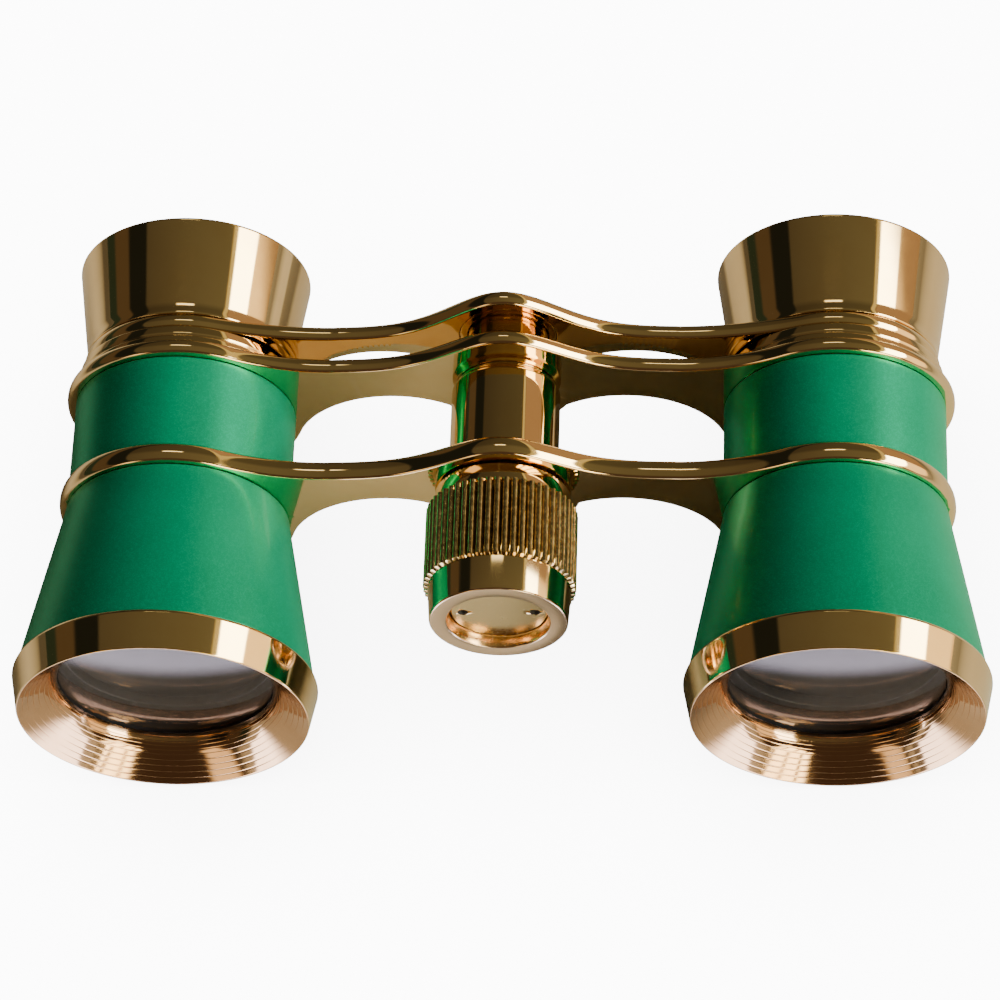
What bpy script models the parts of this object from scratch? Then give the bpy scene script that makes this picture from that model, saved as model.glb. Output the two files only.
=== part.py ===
"""Galilean opera glasses: two enamelled barrels on three bridge plates, with a centre focusing knob.

Y runs along the barrels, from the objectives to the eyepieces, X across them and Z up.
The object lies on its objective rings: the origin is under the middle of its box.
Sizes below are millimetres.  A station is a distance along Y behind the front rims, and a turned
profile is a list of (radius, station) from the eyepiece end down the outer side.
"""

import math

import bmesh
import bpy

# ---------------------------------------------------------------- driving dimensions
MM = 0.001
BARREL_SPACING = 70.0
BARREL_X = BARREL_SPACING / 2
RING_RADIUS = 16.0            # widest part of an objective ring, which the object lies on
LENGTH = 54.4                 # from the front rims to the eyecup rims, focused in
KNOB_RISE = 5.2               # height of the focusing axis above the barrel axes
FOCUS_TRAVEL = 7.5            # how far the eyepieces slide back

GAP = 0.3                     # clearance between fixed neighbours
RUNNING_GAP = 0.1             # radial clearance of a sliding or turning fit
CHAMFER = 0.3                 # small turned edges

# stations of the outer pieces
RING_BACK = 3.9
CONE_BACK = 23.6
FRONT_PLATE = (23.86, 26.0)
REAR_PLATE = (37.1, 38.75)
COLLAR_BACK = 41.0
EYE_PLATE = (41.25, 42.9)
EYECUP_FRONT = 43.2
EYECUP_WAIST = 46.6
KNOB_FRONT = 8.45
KNURL = (12.3, 21.5)
KNOB_BACK = 23.5

# radii of the outer pieces
RIM_RADIUS = 15.3             # front rim of an objective ring
RIM_LAND = 0.5                # width of the flat that the glasses stand on
BEVEL_FOOT = (12.5, 1.85)     # where the ring's stepped bevel meets its inner wall
APERTURE = 11.3
CONE_FRONT_RADIUS = 15.65
TUBE_RADIUS = 11.9
COLLAR_RADIUS = 11.75
EYECUP_RADIUS = 11.2
EYECUP_RIM = 12.7
COLUMN_RADIUS = 5.8
KNURL_RADIUS = 8.0
KNOB_BAND_RADIUS = 7.45
KNOB_COLLAR_RADIUS = 7.15
KNOB_RECESS_RADIUS = 5.3

# pieces inside a barrel
LENS_RADIUS = 12.25
SPIGOT_RADIUS = 13.85         # the ring's spigot, which the cone screws onto
SPIGOT_BACK = 8.2
NECK_RADIUS = 11.0            # the cone's neck, which the front bridge and the barrel tube sit on
NECK_BORE = 10.1
NECK_BACK = 29.0
TUBE_BORE = 10.9
SLEEVE_RADIUS = 10.3          # the rear collar's sleeve, which guides the draw tube
SLEEVE_FRONT = 31.0
DRAW_RADIUS = 9.6
DRAW_BORE = 8.9
DRAW_REACH = 5.5              # draw tube left ahead of the sleeve when focused right out
DRAW_FRONT = SLEEVE_FRONT - FOCUS_TRAVEL - DRAW_REACH
DRAW_BACK = 43.0
EYE_LENS_RADIUS = 7.6
EYE_STOP_RADIUS = 6.6         # the hole in the eyecup's floor
EYE_STOP = (46.5, 47.4)
EYECUP_SPIGOT_FRONT = 39.5

# pieces of the focusing drive
SHAFT_RADIUS = 2.2
THREAD_RADIUS = 2.6
ROD_RADIUS = 4.3
ROD_BORE = THREAD_RADIUS + RUNNING_GAP
ROD_FRONT = 27.5
ROD_BACK = 40.95
THREAD_GRIP = 2.7             # thread still engaged when focused right out
THREAD_BACK = ROD_FRONT + FOCUS_TRAVEL + THREAD_GRIP
KNOB_BUSH_RADIUS = 4.0
ROD_BUSH_RADIUS = 5.2
CENTRE_TUBE_BORE = 4.9
SCREW_DISC_RADIUS = 5.0       # the disc with two holes in the knob's face
DISC_BACK = 11.3
END_SHANK_RADIUS = 1.6
END_HEAD_RADIUS = 3.3

# bridge plates, seen along Y
FRONT_RING_RADIUS = 12.75
REAR_RING_RADIUS = 12.9
EYE_RING_RADIUS = 11.4
STRAP_X = 18.5                # where a plate's top edge starts to rise into its ring
HUMP_SPREAD = 8.1

# how finely round things are cut
FLUTES = 54
SHARP_DEGREES = 30
OUTER_STEPS = 32
INNER_STEPS = 24
HOLE_STEPS = 12
MERGE = 0.00001               # metres

GOLD = ("polished_gold", (0.62, 0.44, 0.19), 0.16, 1.0)
SATIN_GOLD = ("satin_gold", (0.70, 0.50, 0.30), 0.32, 1.0)
ENAMEL = ("green_enamel", (0.01, 0.42, 0.23), 0.12, 0.35)
GLASS = ("lens_glass", (0.10, 0.10, 0.13), 0.03, 0.0)
BLACK = ("black_anodised", (0.02, 0.02, 0.02), 0.5, 0.2)
STEEL = ("screw_steel", (0.55, 0.55, 0.57), 0.3, 1.0)


# ---------------------------------------------------------------- scene and materials
def clear_scene():
    for obj in list(bpy.data.objects):
        bpy.data.objects.remove(obj, do_unlink=True)


def collection(name):
    made = bpy.data.collections.new(name)
    bpy.context.scene.collection.children.link(made)
    return made


def material(spec):
    name, colour, roughness, metallic = spec
    if name in bpy.data.materials:
        return bpy.data.materials[name]
    mat = bpy.data.materials.new(name)
    mat.use_nodes = True
    shader = mat.node_tree.nodes["Principled BSDF"]
    shader.inputs["Base Color"].default_value = (*colour, 1.0)
    shader.inputs["Roughness"].default_value = roughness
    shader.inputs["Metallic"].default_value = metallic
    return mat


def empty(name, place, parent=None):
    marker = bpy.data.objects.new(name, None)
    marker.location = [c * MM for c in place]
    marker.parent = parent
    PARTS.objects.link(marker)
    return marker


def add_object(name, mesh, spec, parent, place=(0, 0, 0), rotation=(0, 0, 0)):
    obj = bpy.data.objects.new(name, mesh)
    PARTS.objects.link(obj)
    obj.parent = parent
    obj.location = [c * MM for c in place]
    obj.rotation_euler = rotation
    if not mesh.materials:
        mesh.materials.append(material(spec))
    return obj


def shade_round(mesh):
    mesh.shade_smooth()
    mesh.set_sharp_from_angle(angle=math.radians(SHARP_DEGREES))


# ---------------------------------------------------------------- turned shapes
ALONG_Y = (-math.pi / 2, 0, 0)          # local Z points along Y, towards the eyepieces


def turned(name, profile, spec, parent, place=(0, 0, 0), steps=OUTER_STEPS, closed=True):
    """Spin a profile of (radius, station) round the Y axis; an open one starts and ends on the axis."""
    mesh = bpy.data.meshes.new(name)
    points = [(radius * MM, 0, station * MM) for radius, station in profile]
    edges = [(i, i + 1) for i in range(len(points) - 1)]
    if closed:
        edges.append((len(points) - 1, 0))
    mesh.from_pydata(points, edges, [])
    obj = add_object(name, mesh, spec, parent, place, ALONG_Y)
    screw = obj.modifiers.new("turn", "SCREW")
    screw.steps = steps
    screw.render_steps = steps
    screw.use_merge_vertices = True
    screw.merge_threshold = MERGE
    apply_modifiers(obj)
    return obj


def apply_modifiers(obj):
    """Swap an object's mesh for the one its modifiers make, shaded round with crisp corners."""
    bpy.context.view_layer.update()
    evaluated = obj.evaluated_get(bpy.context.evaluated_depsgraph_get())
    mesh = bpy.data.meshes.new_from_object(evaluated)
    obj.modifiers.clear()
    obj.data = mesh
    shade_round(mesh)


def tube(name, outer, inner, front, back, spec, parent, place=(0, 0, 0), steps=OUTER_STEPS):
    profile = [(outer, back), (outer, front), (inner, front), (inner, back)]
    return turned(name, profile, spec, parent, place, steps)


def lens_face(radius, station, bulge):
    """A shallow domed face from the axis out to the edge; bulge points along +Y."""
    rings = 4
    return [(radius * i / rings, station + bulge * (1 - (i / rings) ** 2)) for i in range(rings + 1)]


def lens(name, radius, back, front, spec, parent, place):
    """back and front are (station of the edge, bulge along +Y) of the two faces."""
    profile = lens_face(radius, *back) + lens_face(radius, *front)[::-1]
    return turned(name, profile, spec, parent, place, INNER_STEPS, closed=False)


# ---------------------------------------------------------------- flat shapes
FACING_FRONT = (math.pi / 2, 0, 0)      # local XY becomes XZ, local Z points to the front


def arc(centre, radius, start, end, steps):
    """Points on a circle from one angle to another, both in radians, without the last one."""
    angles = [start + (end - start) * i / steps for i in range(steps)]
    return [(centre[0] + radius * math.cos(a), centre[1] + radius * math.sin(a)) for a in angles]


def circle(centre, radius, steps):
    return arc(centre, radius, 0.0, math.tau, steps)


def heading(origin, target):
    return math.atan2(target[1] - origin[1], target[0] - origin[0])


def circles_meet(first, first_radius, second, second_radius):
    """The right-hand one of the two points that two circles share."""
    reach = math.dist(first, second)
    along = (first_radius ** 2 - second_radius ** 2 + reach ** 2) / (2 * reach)
    across = math.sqrt(first_radius ** 2 - along ** 2)
    angle = heading(first, second)
    shared = [(first[0] + along * math.cos(angle) - side * across * math.sin(angle),
               first[1] + along * math.sin(angle) + side * across * math.cos(angle)) for side in (-1, 1)]
    return max(shared)


def plate_half(ring, waist, hump, arch_x, arch_top, boss):
    """The half at +X of a bridge plate's outline, from the top of its hump to the foot of its boss."""
    crest_steps, sweep_steps, ring_steps, arch_steps, boss_steps = 12, 4, 30, 12, 5
    centre = (BARREL_X, 0.0)
    boss_centre = (0.0, KNOB_RISE)
    crest = [(x, waist + hump * math.exp(-(x / HUMP_SPREAD) ** 2))
             for x in (STRAP_X * i / crest_steps for i in range(crest_steps))]
    # the sweep is tangent to the level strap and to the ring
    span = BARREL_X - STRAP_X
    sweep = (span ** 2 + waist ** 2 - ring ** 2) / (2 * (ring - waist))
    sweep_centre = (STRAP_X, waist + sweep)
    # the arch is level at its top and tangent to the ring
    span = BARREL_X - arch_x
    arch = (span ** 2 + arch_top ** 2 - ring ** 2) / (2 * (ring + arch_top))
    arch_centre = (arch_x, arch_top - arch)
    join = circles_meet(boss_centre, boss, arch_centre, arch)
    ring_foot = heading(centre, arch_centre)
    if ring_foot > 0:
        ring_foot -= math.tau
    outline = crest
    outline += arc(sweep_centre, sweep, -math.pi / 2, heading(sweep_centre, centre), sweep_steps)
    outline += arc(centre, ring, heading(centre, sweep_centre), ring_foot, ring_steps)
    outline += arc(arch_centre, arch, heading(arch_centre, centre), heading(arch_centre, join), arch_steps)
    outline += arc(boss_centre, boss, heading(boss_centre, join), -math.pi / 2, boss_steps)
    return outline + [(0.0, KNOB_RISE - boss)]


def extruded(name, loops, front, back, spec, parent, place=(0, 0, 0)):
    """A flat piece between two stations, from an outline and its holes."""
    data = bpy.data.curves.new(name, "CURVE")
    data.dimensions = "2D"
    data.fill_mode = "BOTH"
    data.extrude = (back - front) / 2 * MM
    for loop in loops:
        spline = data.splines.new("POLY")
        spline.points.add(len(loop) - 1)
        for point, (x, z) in zip(spline.points, loop):
            point.co = (x * MM, z * MM, 0, 1)
        spline.use_cyclic_u = True
    guide = bpy.data.objects.new(name + "_outline", data)
    PARTS.objects.link(guide)
    bpy.context.view_layer.update()
    depsgraph = bpy.context.evaluated_depsgraph_get()
    mesh = bpy.data.meshes.new_from_object(guide.evaluated_get(depsgraph))
    bpy.data.objects.remove(guide, do_unlink=True)
    weld(mesh)
    shade_round(mesh)
    mesh.name = name
    middle = (place[0], place[1] + (front + back) / 2, place[2])
    return add_object(name, mesh, spec, parent, middle, FACING_FRONT)


def weld(mesh):
    work = bmesh.new()
    work.from_mesh(mesh)
    bmesh.ops.remove_doubles(work, verts=work.verts, dist=MERGE / 10)
    bmesh.ops.recalc_face_normals(work, faces=work.faces)
    work.to_mesh(mesh)
    work.free()


def combine(target, other, operation):
    change = target.modifiers.new(operation.lower(), "BOOLEAN")
    change.operation = operation
    change.object = other
    change.solver = "EXACT"


def make_cutter(obj):
    PARTS.objects.unlink(obj)
    CUTTERS.objects.link(obj)
    obj.hide_render = True
    obj.display_type = "WIRE"
    return obj


# ---------------------------------------------------------------- bridge plates
def bridge_plate(name, stations, half, barrel_bore, centre_bore, parent):
    mirrored = [(-x, z) for x, z in reversed(half[1:-1])]
    loops = [half + mirrored]
    loops += [circle((side * BARREL_X, 0), barrel_bore, OUTER_STEPS) for side in (-1, 1)]
    loops.append(circle((0, KNOB_RISE), centre_bore, INNER_STEPS))
    return extruded(name, loops, *stations, GOLD, parent)


def bridges(body, carriage):
    front = plate_half(FRONT_RING_RADIUS, waist=8.75, hump=5.1, arch_x=12.5, arch_top=4.05, boss=8.4)
    rear = plate_half(REAR_RING_RADIUS, waist=8.75, hump=5.7, arch_x=12.5, arch_top=3.2, boss=7.5)
    eye = plate_half(EYE_RING_RADIUS, waist=8.65, hump=6.9, arch_x=13.5, arch_top=5.6, boss=6.9)
    bridge_plate("front_bridge", FRONT_PLATE, front, NECK_RADIUS + GAP, KNOB_BUSH_RADIUS + GAP, body)
    bridge_plate("rear_bridge", REAR_PLATE, rear, SLEEVE_RADIUS + GAP, ROD_BUSH_RADIUS + GAP, body)
    bridge_plate("eyepiece_bridge", EYE_PLATE, eye, DRAW_RADIUS + GAP, END_SHANK_RADIUS + GAP, carriage)


# ---------------------------------------------------------------- one barrel
def objective_ring(name, body, place):
    """A bevelled ring with a flat front rim, a lens seat behind its aperture and a spigot."""
    seat = LENS_RADIUS + GAP
    stop = RING_BACK + GAP
    edge = CHAMFER / 3
    profile = [(SPIGOT_RADIUS, SPIGOT_BACK), (SPIGOT_RADIUS, RING_BACK), (RING_RADIUS, RING_BACK),
               (RING_RADIUS, RING_BACK - CHAMFER), (RIM_RADIUS, edge), (RIM_RADIUS - edge, 0.0),
               (RIM_RADIUS - RIM_LAND, 0.0), BEVEL_FOOT, (APERTURE, RING_BACK - edge),
               (APERTURE, stop), (seat, stop), (seat, SPIGOT_BACK)]
    return turned(name, profile, SATIN_GOLD, body, place)


def barrel_cone(name, body, place):
    """The flared front of a barrel, with a neck that carries the front bridge."""
    bore = SPIGOT_RADIUS + GAP
    front = RING_BACK + GAP
    socket = SPIGOT_BACK + GAP
    wall = (SPIGOT_RADIUS - GAP, socket + GAP)
    profile = [(NECK_RADIUS, NECK_BACK), (NECK_RADIUS, CONE_BACK), (TUBE_RADIUS, CONE_BACK),
               (CONE_FRONT_RADIUS, front), (bore, front), (bore, socket),
               wall, (NECK_BORE, CONE_BACK), (NECK_BORE, NECK_BACK)]
    return turned(name, profile, ENAMEL, body, place)


def barrel_tube(name, body, place):
    """The straight rear of a barrel, counterbored to slip over the cone's neck."""
    seat = NECK_RADIUS + GAP
    shoulder = NECK_BACK + GAP
    front = FRONT_PLATE[1] + GAP
    back = REAR_PLATE[0] - GAP
    profile = [(TUBE_RADIUS, back), (TUBE_RADIUS, front), (seat, front), (seat, shoulder),
               (TUBE_BORE, shoulder), (TUBE_BORE, back)]
    return turned(name, profile, ENAMEL, body, place)


def rear_collar(name, body, place):
    """A flanged sleeve that clamps the rear bridge and guides the draw tube."""
    bore = DRAW_RADIUS + RUNNING_GAP
    flange = REAR_PLATE[1] + GAP
    profile = [(COLLAR_RADIUS - CHAMFER, COLLAR_BACK), (COLLAR_RADIUS, COLLAR_BACK - CHAMFER),
               (COLLAR_RADIUS, flange), (SLEEVE_RADIUS, flange), (SLEEVE_RADIUS, SLEEVE_FRONT),
               (bore, SLEEVE_FRONT), (bore, COLLAR_BACK)]
    return turned(name, profile, GOLD, body, place)


def eyecup(name, carriage, place):
    """A cup that flares to its rim, with a curved bowl, an eye stop and a spigot in the draw tube."""
    spigot = DRAW_BORE - GAP
    bore = EYE_LENS_RADIUS + GAP
    floor = EYE_STOP[1]
    mouth = LENGTH - CHAMFER
    flare, steps, roundness = 5.0, 5, 0.6
    bowl = [(EYE_STOP_RADIUS + flare * (i / steps) ** roundness, floor + (mouth - floor) * i / steps)
            for i in range(steps + 1)]
    profile = [(EYECUP_RIM - CHAMFER, LENGTH), (EYECUP_RIM, LENGTH - CHAMFER), (EYECUP_RADIUS, EYECUP_WAIST),
               (EYECUP_RADIUS, EYECUP_FRONT), (spigot, EYECUP_FRONT), (spigot, EYECUP_SPIGOT_FRONT),
               (bore, EYECUP_SPIGOT_FRONT), (bore, EYE_STOP[0]), (EYE_STOP_RADIUS, EYE_STOP[0])]
    return turned(name, profile + bowl, GOLD, carriage, place)


def barrel(side, body, carriage):
    label = "left" if side < 0 else "right"
    place = (side * BARREL_X, 0, 0)
    objective_ring(f"{label}_objective_ring", body, place)
    lens(f"{label}_objective_lens", LENS_RADIUS, (6.5, 0.4), (4.5, -1.0), GLASS, body, place)
    tube(f"{label}_objective_retainer", LENS_RADIUS, TUBE_BORE, 7.2, 8.4, BLACK, body, place, INNER_STEPS)
    barrel_cone(f"{label}_barrel_cone", body, place)
    barrel_tube(f"{label}_barrel_tube", body, place)
    rear_collar(f"{label}_rear_collar", body, place)
    tube(f"{label}_draw_tube", DRAW_RADIUS, DRAW_BORE, DRAW_FRONT, DRAW_BACK, GOLD, carriage, place)
    eyecup(f"{label}_eyecup", carriage, place)
    lens(f"{label}_eye_lens", EYE_LENS_RADIUS, (46.1, -0.9), (43.9, 0.7), GLASS, carriage, place)
    tube(f"{label}_eye_lens_retainer", EYE_LENS_RADIUS, 6.3, 42.0, 43.5, BLACK, carriage, place, INNER_STEPS)


# ---------------------------------------------------------------- focusing drive
def fluted_outline(radius, depth, rib_share=0.3):
    """A ring of narrow straight flutes: two points out on each rib, one down in each flute."""
    outline = []
    pitch = math.tau / FLUTES
    for i in range(FLUTES):
        rib = i * pitch
        for angle in (rib - rib_share * pitch, rib + rib_share * pitch):
            outline.append((radius * math.cos(angle), radius * math.sin(angle)))
        valley = rib + pitch / 2
        outline.append(((radius - depth) * math.cos(valley), (radius - depth) * math.sin(valley)))
    return outline


def focus_knob(knob):
    """A recessed knob with a plain front band, a fluted grip and a plain rear collar."""
    recess = KNOB_RECESS_RADIUS
    bore = SHAFT_RADIUS + GAP
    recess_floor = DISC_BACK + GAP
    face_bevel = 2 * CHAMFER
    flute_depth, grip_bore = 0.35, 6.5
    profile = [(KNOB_COLLAR_RADIUS, KNOB_BACK), (KNOB_COLLAR_RADIUS, KNURL[1] + CHAMFER),
               (KNOB_BAND_RADIUS, KNURL[1] - CHAMFER), (KNOB_BAND_RADIUS, KNOB_FRONT + face_bevel),
               (KNOB_BAND_RADIUS - face_bevel, KNOB_FRONT), (recess + face_bevel, KNOB_FRONT),
               (recess, KNOB_FRONT + face_bevel), (recess, recess_floor), (bore, recess_floor),
               (bore, KNOB_BACK)]
    body = turned("focus_knob", profile, GOLD, knob)
    loops = [fluted_outline(KNURL_RADIUS, flute_depth), circle((0, 0), grip_bore, INNER_STEPS)]
    grip = make_cutter(extruded("knurl_band", loops, *KNURL, GOLD, knob))
    combine(body, grip, "UNION")


def knob_screw(knob):
    """The pin-spanner screw in the knob's face, with its two blind holes."""
    front, shank_back, shank = 9.7, 14.5, 1.2
    edge = CHAMFER * 2 / 3
    hole_radius, hole_offset, hole_back, hole_front = 0.5, 3.75, 10.6, 9.0
    head = [(0.0, shank_back), (shank, shank_back), (shank, DISC_BACK), (SCREW_DISC_RADIUS, DISC_BACK),
            (SCREW_DISC_RADIUS, front + edge), (SCREW_DISC_RADIUS - edge, front), (0.0, front)]
    screw = turned("knob_screw", head, SATIN_GOLD, knob, closed=False)
    for side in (-1, 1):
        drill = [(0.0, hole_back), (hole_radius, hole_back), (hole_radius, hole_front), (0.0, hole_front)]
        place = (side * hole_offset, 0, 0)
        hole = turned("spanner_hole", drill, BLACK, knob, place, HOLE_STEPS, closed=False)
        combine(screw, make_cutter(hole), "DIFFERENCE")


def focus_screw(knob):
    """The knob's shaft: a socket for the knob screw, a journal, a ring groove and the drive thread."""
    socket_radius, socket_floor, shaft_front = 1.5, 15.0, 11.9
    groove_radius, groove_front, groove_back = 1.8, 26.3, 27.3
    thread_front = 28.2
    profile = [(0.0, THREAD_BACK), (THREAD_RADIUS - CHAMFER, THREAD_BACK),
               (THREAD_RADIUS, THREAD_BACK - CHAMFER),
               (THREAD_RADIUS, thread_front), (SHAFT_RADIUS, thread_front - CHAMFER),
               (SHAFT_RADIUS, groove_back), (groove_radius, groove_back), (groove_radius, groove_front),
               (SHAFT_RADIUS, groove_front), (SHAFT_RADIUS, shaft_front), (socket_radius, shaft_front),
               (socket_radius, socket_floor), (0.0, socket_floor)]
    turned("focus_screw", profile, STEEL, knob, steps=INNER_STEPS, closed=False)


def focus_rod(carriage, rise):
    """The threaded tube on the eyepiece bridge that the focus screw drives in and out."""
    socket_floor = 39.0
    thread_end = 38.0
    socket = END_SHANK_RADIUS + GAP
    profile = [(0.0, socket_floor), (socket, socket_floor), (socket, ROD_BACK), (ROD_RADIUS, ROD_BACK),
               (ROD_RADIUS, ROD_FRONT + CHAMFER), (ROD_RADIUS - CHAMFER, ROD_FRONT),
               (ROD_BORE, ROD_FRONT), (ROD_BORE, thread_end), (0.0, thread_end)]
    turned("focus_rod", profile, GOLD, carriage, rise, closed=False)


def rod_end_screw(carriage, rise):
    """The slotted screw that holds the focus rod to the eyepiece bridge."""
    head_front, head_rise, shank_front, steps = 43.2, 1.3, 39.3, 3
    dome = [(END_HEAD_RADIUS * i / steps, head_front + head_rise * (1 - (i / steps) ** 2))
            for i in range(steps + 1)]
    shank = [(END_SHANK_RADIUS, head_front), (END_SHANK_RADIUS, shank_front), (0.0, shank_front)]
    screw = turned("rod_end_screw", dome + shank, SATIN_GOLD, carriage, rise, INNER_STEPS, closed=False)
    reach, half_width, slot_front, slot_back = END_HEAD_RADIUS + GAP, 0.35, 43.75, 45.0
    slot = [(-reach, -half_width), (reach, -half_width), (reach, half_width), (-reach, half_width)]
    cutter = extruded("driver_slot", [slot], slot_front, slot_back, BLACK, carriage, rise)
    combine(screw, make_cutter(cutter), "DIFFERENCE")


def drive(body, knob, carriage):
    rise = (0, 0, KNOB_RISE)
    journal_bore = SHAFT_RADIUS + RUNNING_GAP
    focus_knob(knob)
    knob_screw(knob)
    focus_screw(knob)
    tube("screw_retaining_ring", 3.6, 2.1, 26.45, 27.15, STEEL, knob, steps=INNER_STEPS)
    tube("knob_bush", KNOB_BUSH_RADIUS, journal_bore, 23.75, 26.1, GOLD, body, rise, INNER_STEPS)
    tube("centre_tube", COLUMN_RADIUS, CENTRE_TUBE_BORE, FRONT_PLATE[1] + GAP, REAR_PLATE[0] - GAP,
         GOLD, body, rise)
    tube("rod_bush", ROD_BUSH_RADIUS, ROD_RADIUS + RUNNING_GAP, *REAR_PLATE, GOLD, body, rise)
    focus_rod(carriage, rise)
    rod_end_screw(carriage, rise)


# ---------------------------------------------------------------- the whole object
def build():
    frame = empty("optical_frame", (0, -LENGTH / 2, RING_RADIUS))
    body = empty("body_axis", (0, 0, 0), frame)
    carriage = empty("eyepiece_carriage", (0, 0, 0), frame)
    knob = empty("knob_axis", (0, 0, KNOB_RISE), frame)
    bridges(body, carriage)
    for side in (-1, 1):
        barrel(side, body, carriage)
    drive(body, knob, carriage)


clear_scene()
PARTS = collection("opera_glasses")
CUTTERS = collection("cutters")
build()
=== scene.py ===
"""The looks of a pair of opera glasses: polished gold, green enamel and coated lenses on the CAD frame.

Sizes are millimetres.  A station is a distance along Y behind the front rims, as in the CAD part, and
a turned profile is a list of (radius, station, finish of the surface that leads to the next point).
"""

import math

import bmesh
import bpy
from mathutils import Matrix, Vector


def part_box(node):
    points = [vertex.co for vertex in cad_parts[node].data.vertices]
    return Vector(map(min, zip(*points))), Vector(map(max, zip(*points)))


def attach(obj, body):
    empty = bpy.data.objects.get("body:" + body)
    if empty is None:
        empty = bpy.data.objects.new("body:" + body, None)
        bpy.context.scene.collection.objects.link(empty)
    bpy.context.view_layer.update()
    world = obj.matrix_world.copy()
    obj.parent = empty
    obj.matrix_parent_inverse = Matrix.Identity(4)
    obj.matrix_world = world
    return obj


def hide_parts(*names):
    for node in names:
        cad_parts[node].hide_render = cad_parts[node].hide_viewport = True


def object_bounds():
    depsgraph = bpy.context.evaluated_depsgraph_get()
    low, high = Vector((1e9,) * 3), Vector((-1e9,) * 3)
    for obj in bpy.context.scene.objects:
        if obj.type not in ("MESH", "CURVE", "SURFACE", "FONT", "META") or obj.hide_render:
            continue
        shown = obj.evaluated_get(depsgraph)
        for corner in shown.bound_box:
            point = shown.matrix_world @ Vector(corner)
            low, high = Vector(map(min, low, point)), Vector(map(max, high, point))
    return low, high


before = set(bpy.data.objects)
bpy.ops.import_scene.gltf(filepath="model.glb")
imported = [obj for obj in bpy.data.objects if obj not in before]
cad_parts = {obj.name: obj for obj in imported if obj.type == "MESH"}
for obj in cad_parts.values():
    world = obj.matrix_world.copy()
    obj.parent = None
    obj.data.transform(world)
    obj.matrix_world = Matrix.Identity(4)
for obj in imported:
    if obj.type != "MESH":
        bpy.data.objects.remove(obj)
CAD_LOW, CAD_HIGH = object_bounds()

MM = 0.001
SEGMENTS = 192                # round the outer pieces
FINE_SEGMENTS = 96            # round the small ones
SEAM = 0.06                   # hairline between neighbouring pieces, narrower than the CAD's gap
SHARP_DEGREES = 60
CUT_SHARP_DEGREES = 25


# ---------------------------------------------------------------- sizes read from the frame
def span(node):
    """Front and back stations of a CAD node."""
    low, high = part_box(node)
    return (low.y - CAD_LOW.y) / MM, (high.y - CAD_LOW.y) / MM


def radius(node):
    low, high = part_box(node)
    return (high.z - low.z) / 2 / MM


def axis(node):
    """Where a turned CAD node's axis meets the plane of the front rims, in metres."""
    low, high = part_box(node)
    return Vector(((low.x + high.x) / 2, CAD_LOW.y, (low.z + high.z) / 2))


BARREL_X = axis("right_barrel_tube").x / MM
BARREL_Z = axis("right_barrel_tube").z
KNOB_RISE = (axis("centre_tube").z - BARREL_Z) / MM
SIDES = ("left", "right")


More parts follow.
